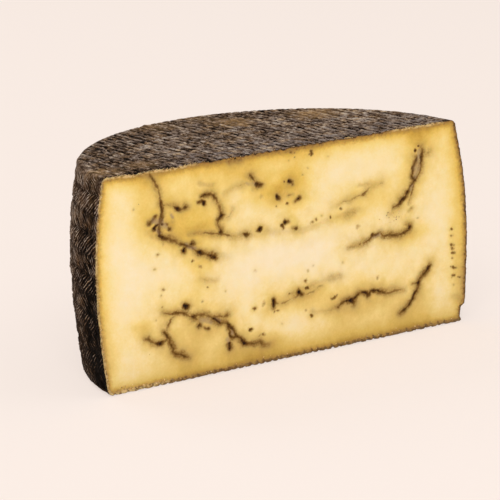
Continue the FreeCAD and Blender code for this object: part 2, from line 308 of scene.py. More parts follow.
    (0.9, [(24.5, 18.3, 1.2), (27, 19.8, 1.4), (28.7, 20.6, 1.6), (31, 20.8, 2.4), (33.3, 20.6, 2.7),
     (33.6, 18.8, 1.2)]),
    (0.92, [(33.8, 21, 2), (35.5, 22.3, 1.6), (37, 23.3, 1.5), (39, 23.4, 1.7), (41, 22.5, 2),
     (41.6, 21.4, 1.8), (43, 22.9, 1.5), (45, 22.8, 1.8), (47, 22.3, 1.9), (49, 21.9, 1.4),
     (51, 20.8, 1.3)]),
    (0.75, [(51, 20.8, 1.3), (54, 20.5, 1.3), (56, 21, 1.1), (61, 20.5, 0.7)]),
    (1, [(76.2, 29.6, 1.4), (75.2, 28.2, 1.7), (73.5, 26.5, 1.5), (71.5, 25, 1.4), (70.2, 23.6, 1.6),
     (69.8, 22.2, 1.8), (69.5, 20.5, 1.3), (68.5, 18.7, 1.5), (66.8, 17, 1.6), (65.5, 15, 1.4),
     (64, 13, 1.4), (62, 11.8, 1.3), (60, 10.6, 1.4), (58.8, 10, 1)]),
    (0.9, [(66.5, 22.4, 0.7), (68.5, 22.5, 1.3), (70, 22.6, 1.4)]),
    (0.3, [(89, 12.2, 1), (92, 11.6, 1.2)]),
    (0.26, [(26, 65, 2.6), (34, 67.5, 3.2), (43, 71, 3.4), (51, 73, 2.4)]),
    (0.34, [(-9, 26.4, 2.6), (2, 28, 3.4), (14, 30.6, 3.2), (26, 33, 1.6)]),
    (0.36, [(-67, 72.6, 2.6), (-64, 71.6, 3.4), (-61.4, 70.4, 2.4)]),
    (0.9, [(-61.4, 71.4, 0.8), (-61, 70.9, 1.5)]),
    (0.45, [(-59.4, 75.4, 0.8), (-58, 73, 1.1)]),
    (0.5, [(-68.9, 67.2, 0.8), (-68.2, 66.4, 1.2)]),
    (0.34, [(22, 17.6, 2.8), (33, 20, 4), (44, 22, 3.8), (56, 21.4, 2.4)]),
    (0.22, [(35, 44.6, 2.2), (46, 47.6, 3), (58, 46, 3.2), (68, 47.6, 2.4)]),
    (0.22, [(-69, 70, 4), (-64, 66, 4), (-56, 61.5, 3.4), (-44, 55.5, 3)]),
    (0.22, [(-60, 29, 3), (-48, 27, 3.6), (-38, 24, 3.6), (-30, 16, 3.2), (-20, 10.4, 2.6)]),
    (0.24, [(71, 83, 3), (69, 74, 3.8), (64, 65, 3.6), (58, 60.5, 2.6)]),
]
# Small holes and specks: (x, z, width, how dark).
SPECKS = [
    (-0.5, 80.5, 0.8, 0.5), (0.5, 70.2, 1.3, 0.6), (-5.3, 70, 0.9, 0.4), (-13, 76, 1.5, 0.25),
    (12.8, 60, 1.3, 0.45), (14.8, 61.1, 1.1, 0.5), (22.8, 60.9, 1, 0.5), (18.3, 62.6, 1, 0.35),
    (9, 82.7, 1.2, 0.35), (11.5, 85, 1, 0.25), (5, 92.6, 0.9, 0.4), (4.9, 90.8, 0.8, 0.4),
    (3.1, 93.3, 1.4, 0.75), (13.6, 91.5, 1.7, 0.75), (12.5, 91.2, 0.9, 0.5), (1.9, 89.9, 0.9, 0.3),
    (22.5, 88.5, 0.9, 0.2), (28.6, 63.5, 1.3, 0.45), (71, 85.9, 1, 0.65), (69.4, 83.9, 1.4, 0.85),
    (70, 53, 0.8, 0.3), (37, 54, 1.6, 0.35), (-64.5, 42.5, 1.2, 0.45), (-65.5, 40.2, 0.9, 0.35),
    (-68.3, 52.3, 1, 0.3), (-66.5, 58.5, 1.3, 0.4), (-49, 52.5, 1.1, 0.5), (-45.8, 49.5, 1.4, 0.35),
    (-42.3, 39.5, 1, 0.4), (-45, 33.7, 1, 0.35), (-65.3, 34.8, 1, 0.35), (-33.5, 36.5, 0.8, 0.25),
    (-77, 80, 1, 0.25), (-68.6, 29.3, 0.9, 0.25), (-21.5, 16.7, 1.6, 0.75), (-19, 26, 1.5, 0.7),
    (-13.8, 27.2, 1.8, 0.35), (-8.5, 22.5, 1.3, 0.55), (-6.8, 22.6, 1.3, 0.55), (-0.8, 29.3, 1.2, 0.5),
    (8.2, 33.6, 1.5, 0.45), (9.2, 30.5, 1.6, 0.85), (9.8, 38, 1.2, 0.25), (12.5, 40.3, 1.2, 0.2),
    (28.2, 39, 1.2, 0.25), (-5, 16.5, 0.8, 0.25), (8, 20.5, 0.9, 0.3), (10.8, 17.4, 1.4, 0.6),
    (23.3, 23.5, 1.5, 0.6), (21.9, 23.1, 1.2, 0.55), (24.6, 24, 1, 0.5), (25.1, 18.4, 1.2, 0.7),
    (-15, 13.3, 1.4, 0.45), (-17, 13, 1, 0.35), (47, 28.5, 1.5, 0.35), (-18, 42.8, 1.2, 0.2),
    (88.6, 44.4, 1.3, 0.6), (88.5, 41.5, 1.2, 0.5), (88.3, 37, 1.3, 0.5), (89.5, 36.6, 1, 0.4),
    (88.5, 35.3, 1.2, 0.45), (89.5, 34.8, 0.9, 0.35), (88.6, 33.2, 1.3, 0.55), (90, 33.1, 1, 0.4),
    (88.6, 30.8, 1, 0.35), (89.5, 26, 1.4, 0.6), (90.6, 25.7, 0.9, 0.45), (88, 26.4, 1, 0.35),
    (88.8, 22.6, 1.4, 0.6), (89, 18, 1, 0.25), (93, 21.2, 1, 0.6), (92, 21.5, 0.8, 0.5),
]
# Ash-grey fillings between the lines of a vein: paths of (x, z, width).
ASHES = [
    [(71.4, 83.5, 1.6), (71, 79, 2.6), (70.2, 75.5, 2.8), (69.2, 72.4, 1.6)],
    [(67.5, 69, 1.2), (66.6, 67, 1.4)], [(-46.2, 25.5, 2), (-43.5, 24.8, 2.8), (-41, 23.4, 2)],
    [(-38.6, 24.6, 1.6), (-37, 23.9, 1.6)], [(-31.3, 18, 1), (-30.8, 16.4, 1.2)],
    [(-33.6, 14.6, 1.6), (-33, 13.2, 1.4)], [(44.5, 47.4, 1), (48.5, 48.4, 1.6)],
    [(-67.4, 73.6, 1.8), (-65, 72.6, 2.8), (-62.4, 71.2, 2.8), (-61.4, 69.8, 1.6)],
    [(-65.8, 69, 1.4), (-65.2, 67.6, 1.4)], [(-58.6, 74.4, 1.2), (-58, 73.6, 1)],
    [(-51.6, 60.6, 1.4), (-50, 58.8, 1.8), (-47.4, 58.2, 1.4)], [(-20.2, 82.4, 1.2), (-16.5, 81.6, 1.8)],
]
# Clouds of deeper or paler yellow: (x, z, half width, half height, amount).
CLOUDS = [
    (-73, 80, 6, 15, 0.2), (-58, 72, 12, 10, 0.16), (-50, 66, 16, 7, 0.34), (-40, 72, 10, 10, 0.1),
    (-46, 50, 8, 8, 0.28), (-46, 38, 10, 6, 0.2), (-26, 87, 15, 6, 0.14), (-3, 77, 13, 7, 0.3),
    (5, 84, 9, 9, 0.12), (71, 89, 7, 5, 0.26), (32, 60, 15, 5, 0.24), (40, 69, 15, 6, 0.14),
    (66, 72, 8, 12, 0.12), (50, 68, 9, 7, 0.12), (67, 46, 10, 4, 0.24), (36, 19, 20, 8, 0.3),
    (-50, 17, 13, 9, 0.22), (8, 27, 18, 5, 0.26), (-45, 24, 16, 8, 0.12), (70, 12, 8, 7, 0.12),
    (-75, 27, 6, 4, 0.24), (-20, 8, 22, 6, 0.16), (30, 6, 60, 5, 0.12), (92, 50, 4, 60, 0.05),
    (92, 88, 9, 9, 0.05), (-3, 46, 36, 8, -0.14), (-84, 50, 8, 42, -0.12), (36, 82, 18, 8, -0.1),
    (82, 30, 6, 30, -0.06), (6, 14, 12, 5, -0.12),
]


def stroke(x, z, path):
    """Distance to a path, that distance as a share of the path's half width there, and the width there."""
    gap, ratio, width = np.full(x.shape, 1e9), np.full(x.shape, 1e9), np.zeros(x.shape)
    for (x0, z0, w0), (x1, z1, w1) in zip(path, path[1:]):
        t = ((x - x0) * (x1 - x0) + (z - z0) * (z1 - z0)) / ((x1 - x0) ** 2 + (z1 - z0) ** 2)
        t = np.clip(t, 0, 1)
        away = np.hypot(x - x0 - t * (x1 - x0), z - z0 - t * (z1 - z0))
        here = w0 + (w1 - w0) * t
        width = np.where(away < gap, here, width)
        gap = np.minimum(gap, away)
        ratio = np.minimum(ratio, away / (0.5 * here))
    return gap, ratio, width


def vein_fields(x, z):
    """Depth of the cracks and holes, their stain, ash and yellow halo, and the distance to them."""
    wx = x + 0.45 * fractal(x, 0, z, 4.5, 41, 2) + 0.30 * noise(x, 0, z, 1.5, 45)
    wz = z + 0.45 * fractal(x, 50, z, 4.5, 43, 2) + 0.30 * noise(x, 50, z, 1.5, 47)
    frayed = 0.8 * fractal(x, 70, z, 1.7, 48, 3)
    gritty = 0.9 * fractal(x, 75, z, 0.9, 52, 2)
    clump = smooth(-0.5, 0.45, fractal(x, 80, z, 2.8, 49, 2))
    cloud = smooth(-0.6, 0.6, fractal(x, 90, z, 5.5, 51, 2))
    depth, stain, halo, ash = (np.zeros(x.shape) for _ in range(4))
    near = np.full(x.shape, 1e9)
    for dark, path in VEINS:
        gap, ratio, width = stroke(wx, wz, path)
        sharp = float(smooth(0.2, 0.55, dark))      # 0 for a soft wash, 1 for a crack
        spread = 0.62 if sharp > 0.3 and len(path) <= 3 else 1.0
        ragged = ratio + frayed * (0.3 + 0.7 * sharp)
        strength = dark * np.clip(0.36 + 0.52 * (width - 0.5), 0.3, 1.1) * (0.68 + 0.34 * clump)
        core = (1 - smooth(0.1, 1.9, ragged)) * sharp
        hole = (1 - smooth(0.0, 1.0, ragged)) * sharp * smooth(1.3, 2.1, width)
        depth = np.maximum(depth, 0.3 * strength * core + 0.5 * hole)
        stain = np.maximum(stain, strength * (0.9 * core + 0.1 * hole))
        beyond = np.maximum(gap - 0.3 * width, 0) / (0.65 + 0.7 * cloud) / spread
        wash = 0.62 * np.exp(-(beyond / 1.5) ** 2) + 0.38 * np.exp(-(beyond / 3.6) ** 2)
        amount = (0.22 * strength + 0.24 * dark) * sharp + 0.75 * dark * (1 - sharp) * (0.25 + 0.9 * cloud)
        stain = np.maximum(stain, amount * wash)
        halo = np.maximum(halo, dark * np.exp(-gap / 6.0))
        near = np.minimum(near, gap)
    for sx, sz, width, dark in SPECKS:
        gap, ratio, _ = stroke(wx, wz, [(sx, sz, width), (sx + 0.1, sz, width)])
        core = 1 - smooth(0.0, 2.2, ratio + gritty)
        depth = np.maximum(depth, 0.25 * dark * core)
        stain = np.maximum(stain, 0.9 * dark * np.maximum(core, 0.3 * np.exp(-(gap / 1.1) ** 2)))
        halo = np.maximum(halo, dark * np.exp(-gap / 3.0))
        near = np.minimum(near, gap)
    for path in ASHES:
        ash = np.maximum(ash, 1 - smooth(0.2, 1.9, stroke(wx, wz, path)[1] + frayed))
    return depth, stain, ash * (0.5 + 0.5 * clump), np.clip(halo, 0, 1), near


# ---------------------------------------------------------------- meshes
def make_piece(name, points, faces, fields, uv, hidden_from, material):
    """A closed mesh with float fields per vertex. Faces from hidden_from on share a strip of the UV map."""
    mesh = bpy.data.meshes.new(name)
    mesh.from_pydata(place(points).tolist(), [], faces)
    mesh.validate()
    for label, values in fields.items():
        layer = mesh.attributes.new(label, "FLOAT", "POINT")
        layer.data.foreach_set("value", np.asarray(values, dtype=np.float32))
    loops = np.empty(len(mesh.loops), dtype=np.int64)
    mesh.loops.foreach_get("vertex_index", loops)
    seen = mesh.polygons[hidden_from].loop_start if hidden_from < len(mesh.polygons) else len(loops)
    mapped = uv[loops] * [0.98, 0.93] + [0.01, 0.06]
    hidden_spread = points[loops[seen:], :2] / (2.2 * RADIUS)
    mapped[seen:] = np.clip(hidden_spread * [1.0, 0.04] + [0.5, 0.005], 0, 1)
    mesh.uv_layers.new(name="OFBake").data.foreach_set("uv", mapped.astype(np.float32).ravel())
    mesh.polygons.foreach_set("use_smooth", np.arange(len(mesh.polygons)) < hidden_from)
    mesh.materials.append(material)
    mesh.update()
    piece = bpy.data.objects.new(name, mesh)
    bpy.context.scene.collection.objects.link(piece)
    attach(piece, "root")
    return piece


def grid_faces(rows, columns, flip=False, offset=0):
    """Four-sided faces over a grid of points stored row by row."""
    faces = []
    for row in range(rows - 1):
        for a in range(offset + row * columns, offset + (row + 1) * columns - 1):
            quad = (a, a + 1, a + columns + 1, a + columns)
            faces.append(quad[::-1] if flip else quad)
    return faces


# ---------------------------------------------------------------- the outer skin
def profile(run):
    """Radius, height and turn of the normal of the plain outline, run mm from the base's flat."""
    turn_low = np.clip(run / BASE_ROUND, 0, math.pi / 2) - math.pi / 2
    turn_high = np.clip((run - BASE_TURN - SIDE_RUN) / TOP_ROUND, 0, math.pi / 2)
    z_side = np.clip(run - BASE_TURN, 0, SIDE_RUN) + BASE_ROUND
    low, high = run < BASE_TURN, run > BASE_TURN + SIDE_RUN
    turn = np.where(low, turn_low, np.where(high, turn_high, 0.0))
    radius = np.where(low, BASE_FLAT + BASE_ROUND * np.cos(turn),
                      np.where(high, TOP_FLAT + TOP_ROUND * np.cos(turn), side_radius(z_side)))
    z = np.where(low, BASE_ROUND + BASE_ROUND * np.sin(turn),
                 np.where(high, HEIGHT - TOP_ROUND + TOP_ROUND * np.sin(turn), z_side))
    return radius, z, turn


def skin(theta, run):
    """Points of the outer skin with its relief, and the depth of that relief."""
    radius, z, turn = profile(run)
    x, y = radius * np.cos(theta), radius * np.sin(theta)
    from_cut = RADIUS * np.minimum(theta, math.pi - theta)
    side = plait(theta * RADIUS, z)[0] * np.cos(turn) ** 2 * (0.4 + 0.6 * smooth(0.0, 6.0, from_cut))
    face = np.where(turn > 0, HEIGHT - top_height(x, y), base_height(x, y)) * np.sin(turn) ** 2
    notch = NOTCH_DEPTH * (1 - smooth(2.0, 7.0, theta * RADIUS)) * np.cos(turn) ** 2
    notch = notch * (1 - smooth(NOTCH_HEIGHT - 0.9, NOTCH_HEIGHT + 0.9, z))
    nub = np.exp(-((theta - NUB_ANGLE) * TOP_FLAT / NUB_SIZE) ** 2
                 - ((run - PROFILE_LENGTH + NUB_IN) / NUB_SIZE) ** 2)
    depth = (side + face) * (1 - 0.9 * nub) - 0.8 * nub * np.cos(turn)
    radius = radius - (depth + notch) * np.cos(turn)
    return np.stack([radius * np.cos(theta), radius * np.sin(theta), z - depth * np.sin(turn)], -1), depth


def make_rind_side(name, theta_from, theta_to, material):
    """Half of the plaited side, from one face's rim to the other's, as a closed shell."""
    columns = int(RADIUS * abs(theta_to - theta_from) / SHELL_CELL) + 1
    inner_rows = (SIDE_ROWS - 1) // END_STEP + 1
    thetas = np.linspace(theta_from, theta_to, columns)
    run, theta = np.meshgrid(np.linspace(0, PROFILE_LENGTH, SIDE_ROWS), thetas, indexing="ij")
    run_in, theta_in = np.meshgrid(np.linspace(0, PROFILE_LENGTH, inner_rows), thetas, indexing="ij")
    outer, depth = skin(theta, run)
    radius, z, turn = profile(run_in)
    radius = radius - RIND * np.cos(turn) - SHELL_SINK
    inner = np.stack([radius * np.cos(theta_in), np.maximum(radius * np.sin(theta_in), RIND),
                      z - RIND * np.sin(turn)], -1).reshape(-1, 3)
    points = np.concatenate([outer.reshape(-1, 3), inner])
    flip = theta_to < theta_from
    faces = grid_faces(SIDE_ROWS, columns, flip)
    hidden_from, base = len(faces), SIDE_ROWS * columns
    faces += grid_faces(inner_rows, columns, not flip, base)
    high_out, high_in = base - columns, base + (inner_rows - 1) * columns
    for i in range(columns - 1):
        low = (i, i + 1, base + i + 1, base + i)
        high = (high_out + i, high_out + i + 1, high_in + i + 1, high_in + i)
        faces += [low, high[::-1]] if flip else [low[::-1], high]
    for end in (0, columns - 1):
        for row in range(inner_rows - 1):
            ring = [(row * END_STEP + k) * columns + end for k in range(END_STEP + 1)]
            ring += [base + (row + 1) * columns + end, base + row * columns + end]
            faces.append(tuple(ring if (end == 0) != flip else ring[::-1]))

    def both(values, hidden=0.0):
        return np.concatenate([values.ravel(), np.full(len(inner), hidden)])

    _, z, turn = profile(run)
    fields = skin_fields(points, both(depth, 1.0))
    fields.update(strand=both(plait(theta * RADIUS, z)[1]), face=both(np.sin(turn) ** 2))
    uv = np.stack([both((theta - theta_from) / (theta_to - theta_from)), both(run / PROFILE_LENGTH)], -1)
    return make_piece(name, points, faces, fields, uv, hidden_from, material)


def make_rind_face(name, columns, rows, radius, height_at, outward, material):
    """The rind of the top or the base as a closed plate, on a square grid bent to a half disc."""
    v, u = np.meshgrid(np.linspace(0, 1, rows), np.linspace(-1, 1, columns), indexing="ij")
    x, y = u * np.sqrt(1 - v * v / 2) * radius, v * np.sqrt(1 - u * u / 2) * radius
    z = height_at(x, y)
    outer = np.stack([x, y, z], -1).reshape(-1, 3)
    loop = list(range(columns))
    loop += [row * columns + columns - 1 for row in range(1, rows)]
    loop += [(rows - 1) * columns + i for i in range(columns - 2, -1, -1)]
    loop += [row * columns for row in range(rows - 2, 0, -1)]
    inner = outer[loop] * [CAP_SHARE, CAP_SHARE, 1]
    inner[:, 1] = np.maximum(inner[:, 1], RIND)
    inner[:, 2] = HEIGHT - RIND - DISH - 1 if outward > 0 else RIND
    faces = grid_faces(rows, columns, outward < 0)
    hidden_from, base, count = len(faces), len(outer), len(loop)
    walls = [(loop[i], base + i, base + (i + 1) % count, loop[(i + 1) % count]) for i in range(count)]
    walls.append(tuple(range(base + count - 1, base - 1, -1)))
    faces += walls if outward > 0 else [wall[::-1] for wall in walls]
    points = np.concatenate([outer, inner])
    depth = HEIGHT - DISH * (1 - (x * x + y * y) / radius ** 2) - z if outward > 0 else z
    fields = skin_fields(points, np.concatenate([depth.ravel(), np.ones(count)]))
    fields.update(strand=np.zeros(len(points)), face=np.ones(len(points)))
    uv = np.concatenate([np.stack([(u + 1) / 2, v], -1).reshape(-1, 2), np.zeros((count, 2))])
    return make_piece(name, points, faces, fields, uv, hidden_from, material)


def blob(x, y, centre, size, seed):
    """A patch with a ragged edge."""
    gap = np.hypot(x - centre[0], y - centre[1]) / size
    return 1 - smooth(0.3, 1.25, gap + 0.45 * fractal(x, y, 0, 7, seed, 3))


# Ochre patches of the top: centre, size, amount and seed.
OCHRE = [((14, 67), 12, 1.0, 201), ((52, 58), 14, 1.0, 202), ((6, 84), 9, 0.5, 203),
         ((-84, 12), 9, 0.75, 204), ((-64, 14), 9, 0.6, 206), ((-20, 80), 12, 0.4, 207)]


def skin_fields(points, depth):
    """Float fields of the rind: relief, ribs, distance to the cut, ochre patches, bloom and shade."""
    x, y, z = points.T
    upper = smooth(HEIGHT / 2 - 1, HEIGHT / 2 + 1, z)
    ochre = sum(amount * blob(x, y, centre, size, seed) for centre, size, amount, seed in OCHRE)
    bloom = (1 - smooth(8, 34, y + 10 * fractal(x, y, 1, 12, 205, 3))) * smooth(-70, -40, x)
    shade = 0.18 * smooth(-35, -70, x) + 0.08 * smooth(45, 72, y) + 0.025 * (1 - smooth(8, 20, y)) - 0.085
    return {
        "crest": np.clip(1 - depth / 1.3, 0, 1),
        "rib": np.where(upper > 0.5, board(x, y, TOP_SEED)[1], board(x, y, BASE_SEED)[1]),
        "cut_gap": np.clip(y / 30.0, 0, 1),
        "ochre": np.clip(ochre * upper, 0, 1),
        "bloom": bloom * upper,
        "shade": shade * upper,
        "level": z / HEIGHT,
    }


# ---------------------------------------------------------------- the cut face and the paste behind it
def cut_grid(columns, rows):
    """x and z over the cut face, blended between its four edges, and the distances to those edges."""
    u = np.linspace(0, 1, columns + 1)[None, :, None]
    v = np.linspace(0, 1, rows + 1)[:, None, None]
    top_x, base_x = ((2 * u[0, :, 0] - 1) * flat for flat in (TOP_FLAT, BASE_FLAT))
    top = np.stack([top_x, top_height(top_x, 0 * top_x)], -1)[None]
    base = np.stack([base_x, base_height(base_x, 0 * base_x)], -1)[None]
    runs = v[:, 0, 0] * PROFILE_LENGTH
    right, left = (skin(np.full_like(runs, theta), runs)[0][:, None, [0, 2]] for theta in (0.0, math.pi))
    corners = ((1 - v) * ((1 - u) * base[:, :1] + u * base[:, -1:])
               + v * ((1 - u) * top[:, :1] + u * top[:, -1:]))
    x, z = np.moveaxis((1 - v) * base + v * top + (1 - u) * left + u * right - corners, -1, 0)
    return x, z, x - left[..., 0], right[..., 0] - x, top[..., 1] - z, z - base[..., 1]


def block_faces(fine):
    """Nine faces in each fine block of three by three cells, and one face in each other block, which
    takes in its fine neighbours' extra points. Points are (row, column)."""
    sides = (((0, 0), (0, 1), (-1, 0)), ((0, 3), (1, 0), (0, 1)),
             ((3, 3), (0, -1), (1, 0)), ((3, 0), (-1, 0), (0, -1)))
    split = np.pad(fine, 1)
    faces = []
    for row in range(fine.shape[0]):
        for column in range(fine.shape[1]):
            r, c = 3 * row, 3 * column
            if fine[row, column]:
                faces += [((r + i, c + j), (r + i, c + j + 1), (r + i + 1, c + j + 1), (r + i + 1, c + j))
                          for i in range(3) for j in range(3)]
                continue
            ring = []
            for (dr, dc), (step_r, step_c), (next_r, next_c) in sides:
                steps = 3 if split[row + 1 + next_r, column + 1 + next_c] else 1
                ring += [(r + dr + k * step_r, c + dc + k * step_c) for k in range(steps)]
            faces.append(ring)
    return faces


def yellowness(x, z, rim, halo):
    """0 in the pale heart of the paste, 1 in the deep gold under the rind."""
    value = 0.10 + 0.60 * np.exp(-rim / 2.8) + 0.36 * np.exp(-rim / 10.0) + 0.38 * halo
    for cx, cz, wide, high, amount in CLOUDS:
        bent = 1 + 0.35 * fractal(x, cx, z, 12, 90, 2)
        value = value + amount * np.exp(-(((x - cx) / wide) ** 2 + ((z - cz) / high) ** 2) * bent)
    value = value + 0.09 * fractal(x, 11, z, 13, 91, 3) + 0.04 * fractal(x, 12, z, 2.5, 92, 2)
    return np.clip(value, 0, 1.1)


def make_paste(material):
    """The paste: the cut face in fine cells along veins and edges, and a plain half barrel behind."""
    columns, rows = 3 * int(2 * RADIUS / CELL), 3 * int(PROFILE_LENGTH / CELL)
    x, z, left_gap, right_gap, top_gap, base_gap = cut_grid(columns, rows)
    rim = np.maximum(np.minimum.reduce([left_gap, right_gap, top_gap, base_gap]), 0)
    crack, stain, ash, halo, near = vein_fields(x, z)

    wave = 0.16 * fractal(x, 3, z, 24, 61, 2) + 0.07 * fractal(x, 3, z, 3.5, 62, 3)
    drag = 0.035 * noise(x * 0.12, 3, z, 1.3, 63)
    tiny = smooth(0.66, 0.9, fractal(x, 9, z, 2.4, 64, 2))
    crumble = smooth(0.15, 0.7, fractal(x, 5, z, 3.0, 65, 3)) * (1 - smooth(0.3, 2.4, rim))
    y = 0.3 + wave + drag + 0.9 * crack + 0.25 * tiny + 0.7 * crumble
    y = np.maximum(y * smooth(0.0, 1.1, rim), 0)

    plain_side = outline_radius(np.clip(z, 0, HEIGHT)) - np.abs(x)
    inside = np.maximum(np.minimum.reduce([plain_side, HEIGHT - 0.8 - z, z - 0.2]), 0)
    top_edge, base_edge = 1 - smooth(0.5, 1.5, top_gap), 1 - smooth(0.7, 2.2, base_gap)
    top_fray = smooth(-95, -91, x) * (1 - smooth(-50, -42, x)) + smooth(54, 60, x) * (1 - smooth(80, 88, x))
    base_fray = 0.12 + 0.8 * smooth(-92, -88, x) * (1 - smooth(-66, -60, x))
    fray = top_edge * top_fray + base_edge * base_fray + 0.85 * (1 - smooth(0.5, 1.7, left_gap))
    fields = {
        # the rim band darkens towards the base edge: partly the rind's own dark edge, partly painted shadow
        # under the cut face
        "rim": rim * (1 + 1.1 * top_edge) * (1 - 0.55 * base_edge),
        "stain": stain,
        "ash": ash,
        "yolk": yellowness(x, z, inside, halo),
        "halo": halo,
        # painted shade: the next two fields make the cut face darker and bluer towards its base and greyer
        # over its lower half
        "low": np.exp(-z / 7),
        "painted_grey_shade": (1 - smooth(14, 46, z)) * smooth(0, 16, z),
        "fray": np.clip(fray * smooth(-0.9, -0.1, fractal(x, 21, z, 3.0, 66, 3)), 0, 1),
    }

    fine = (near < 1.8) | (rim < 1.6)
    shape = (rows // 3, 3, columns // 3, 3)
    blocks = [part.reshape(shape).any(axis=(1, 3)) for part in (fine[:-1, :-1], fine[1:, 1:])]
    rings = block_faces(blocks[0] | blocks[1])
    used = sorted({point for ring in rings for point in ring})
    number = {point: i for i, point in enumerate(used)}
    faces = [tuple(number[point] for point in ring) for ring in rings]
    hidden_from = len(faces)
    at = tuple(np.array(used).T)
    front = np.stack([x[at], y[at], z[at]], -1)

    edge = [(0, c) for c in range(columns)] + [(r, columns) for r in range(rows)]
    edge += [(rows, c) for c in range(columns, 0, -1)] + [(r, 0) for r in range(rows, 0, -1)]
    edge = [number[point] for point in edge]
    shrink = 1 - CORE_INSET / BELLY
    core = (front[edge] - [0, 0, BELLY]) * [shrink, 0, shrink] + [0, 1.4 * CORE_INSET, BELLY]
    start, count = len(front), len(edge)
    for i in range(count):
        j = (i + 1) % count
        faces.append((edge[i], start + i, start + j, edge[j]))
    angles = np.pi * (np.arange(ARC_STEPS) + 1) / (ARC_STEPS + 1)
    wall = core[columns:columns + rows + 1]
    back = np.stack([wall[:, :1] * np.cos(angles),
                     core[0, 1] + (wall[:, :1] - core[0, 1] - CORE_INSET) * np.sin(angles),
                     np.repeat(wall[:, 2:], ARC_STEPS, 1)], -1).reshape(-1, 3)

    def ring_point(row, step):
        if step == 0:
            return start + columns + row
        if step == ARC_STEPS + 1:
            return start + (2 * columns + 2 * rows - row) % count
        return start + count + row * ARC_STEPS + step - 1

    for row in range(rows):
        for k in range(ARC_STEPS + 1):
            faces.append((ring_point(row, k), ring_point(row, k + 1), ring_point(row + 1, k + 1),
                          ring_point(row + 1, k)))
    low = [start + i for i in range(columns, -1, -1)] + [ring_point(0, k) for k in range(ARC_STEPS, 0, -1)]
    high = [ring_point(rows, k) for k in range(1, ARC_STEPS + 1)]
    high += [start + i for i in range(2 * columns + rows, columns + rows - 1, -1)]
    faces += [tuple(low), tuple(high)]

    def both(field, hidden=0.0):
        return np.concatenate([field[at], np.full(len(core) + len(back), hidden)])

    resting = {"rim": 5.0, "yolk": 0.5}
    fields = {label: both(values, resting.get(label, 0.0)) for label, values in fields.items()}
    uv = np.stack([both((x + RADIUS) / (2 * RADIUS)), both(z / HEIGHT)], -1)
    points = np.concatenate([front, core, back])
    return make_piece("cheese_paste", points, faces, fields, uv, hidden_from, material)


# ---------------------------------------------------------------- crumbs
def lump(centre, size, seed):
    """Points and faces of one small crumb, a roughened and squashed octahedral ball."""
    rng = np.random.default_rng(seed)
    steps, rings = 6, 4
    points = [(0, 0, -1)]
    for ring in range(1, rings):
        tilt = math.pi * ring / rings
        for step in range(steps):
            turn = 2 * math.pi * (step + 0.5 * (ring % 2)) / steps
            out = math.sin(tilt)
            points.append((out * math.cos(turn), out * math.sin(turn), -math.cos(tilt)))
    points.append((0, 0, 1))
    points = np.array(points) * rng.uniform(0.65, 1.25, (len(points), 1)) * rng.uniform(0.6, 1.3, 3)
    last = len(points) - 1
    faces = [(0, 1 + (k + 1) % steps, 1 + k) for k in range(steps)]
    for a in range(1, last - steps, steps):
        for k in range(steps):
            n = (k + 1) % steps
            faces.append((a + k, a + n, a + steps + n, a + steps + k))
    faces += [(last - steps + k, last - steps + (k + 1) % steps, last) for k in range(steps)]
    return points * size + np.array(centre), faces


def make_crumbs(material):
    """Crumbs and frayed bits along the edges of the cut, and a few on the cut face."""
    rng = np.random.default_rng(7)
    spots = []

    def along_top(x_from, x_to, count, low, high):
        for _ in range(count):
            x = rng.uniform(x_from, x_to)
            y = abs(rng.normal(0.3, 0.5))
            top = float(top_height(np.array([x]), np.array([y]))[0])
            spots.append((x, y, top - 0.05, rng.uniform(low, high)))

    def along_base(x_from, x_to, count, low, high):
        for _ in range(count):
            x = rng.uniform(x_from, x_to)
            spots.append((x, rng.uniform(0.2, 0.9), rng.uniform(0.7, 3.2), rng.uniform(low, high)))

    along_top(-90, -44, 110, 0.12, 0.34)
    along_top(56, 84, 60, 0.12, 0.32)
    along_top(32, 36, 8, 0.3, 0.7)
    along_top(-44, 56, 40, 0.12, 0.3)
    along_base(-89, -64, 80, 0.2, 0.5)
    along_base(-60, 88, 130, 0.14, 0.42)
    for _ in range(150):
        z = rng.uniform(5, 90)
        x = -float(side_radius(z)) + rng.uniform(0.7, 1.8)
        spots.append((x, rng.uniform(0.2, 0.8), z, rng.uniform(0.16, 0.44)))
    for _ in range(26):
        spots.append((rng.normal(58, 3.2), 0.35, rng.normal(55.5, 1.6), rng.uniform(0.15, 0.4)))
    for _ in range(40):
        spots.append((rng.uniform(-85, 85), 0.4, rng.uniform(8, 90), rng.uniform(0.1, 0.22)))
    points, faces = [], []
    for number, (x, y, z, size) in enumerate(spots):
        y, z = max(y, size * 1.3), max(min(z, HEIGHT - size * 1.4), size * 1.4)
        made, rings = lump((x, y, z), size, number)
        faces += [tuple(number * len(made) + i for i in ring) for ring in rings]
        points.append(made)
    tone = np.repeat(rng.uniform(0, 1, len(spots)), len(points[0]))
    points = np.concatenate(points)
    uv = np.stack([(points[:, 0] / RADIUS + 1) / 2, points[:, 2] / HEIGHT], -1)
    return make_piece("cut_crumbs", points, faces, {"tone": tone}, uv, len(faces), material)


# ---------------------------------------------------------------- materials
def linear(red, green, blue):
    """An sRGB colour given from 0 to 255 as the linear RGBA that sockets take."""
    values = [c / 255 for c in (red, green, blue)]
    return (*[c / 12.92 if c <= 0.04045 else ((c + 0.055) / 1.055) ** 2.4 for c in values], 1.0)


